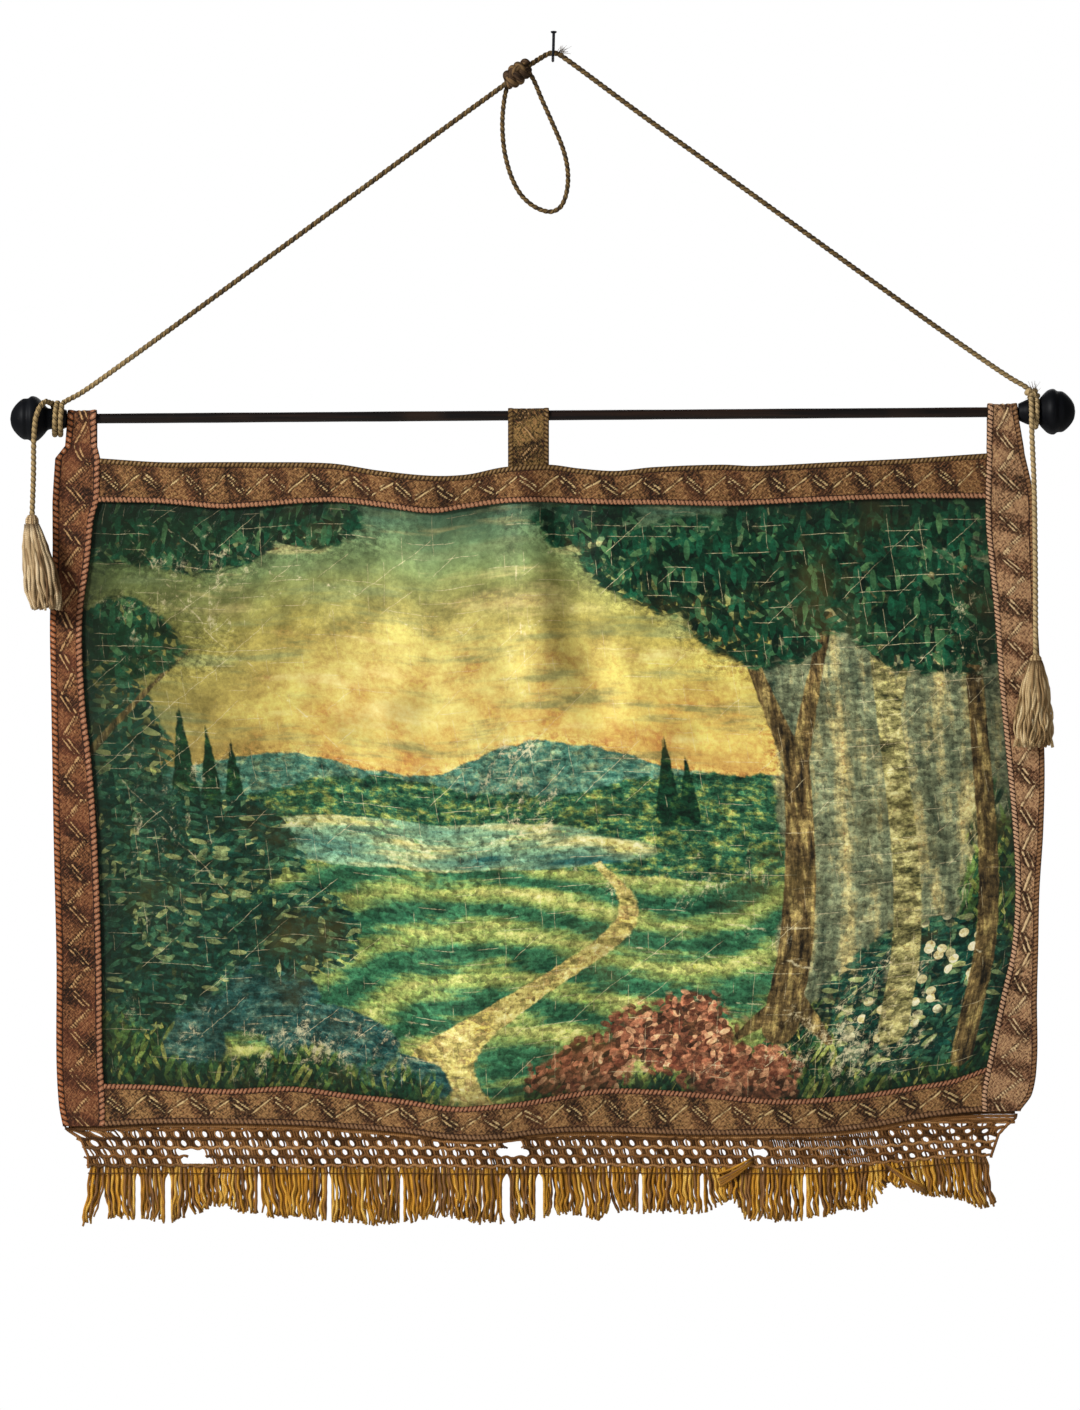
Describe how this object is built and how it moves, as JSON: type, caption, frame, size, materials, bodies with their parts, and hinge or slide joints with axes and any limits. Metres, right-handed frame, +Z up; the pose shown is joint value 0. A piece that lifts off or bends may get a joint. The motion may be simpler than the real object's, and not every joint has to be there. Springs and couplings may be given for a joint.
{
  "type": "wall tapestry with rod, cord and nail",
  "caption": "Printed cloth panel with woven galloon borders, knotted net and fringe, hung from a rod with turned finials by a tasselled cord over a bent nail.",
  "frame": {"origin": "where the nail's axis meets the wall, which is the plane y = 0", "axes": "+Z up along the hanging, -Y out of the wall towards the viewer, +X to the viewer's right"},
  "size_m": [0.8522, 0.0699, 0.9589],
  "materials": {
    "print": "satin",
    "galloon": "woven",
    "net": "knotted yarn",
    "fringe": "cut yarn",
    "cord": "two-ply twist",
    "tassel": "tied yarn",
    "rod": "dark stained, satin",
    "finial": "black lacquer",
    "nail": "dark steel"
  },
  "bodies": {
    "root": {"panel": "print", "border_top": "galloon", "border_bottom": "galloon", "border_left": "galloon", "border_right": "galloon", "tab_middle": "galloon", "net": "net", "fringe": "fringe", "rod": "rod", "finial_left": "finial", "finial_right": "finial", "cord_left": "cord", "cord_loop": "cord", "cord_right": "cord", "cord_hitch": "cord", "cord_tail_right": "cord", "knot_top": "cord", "knot_right": "cord", "tassel_left": "tassel", "tassel_right": "tassel", "nail": "nail"}
  },
  "joints": []
}
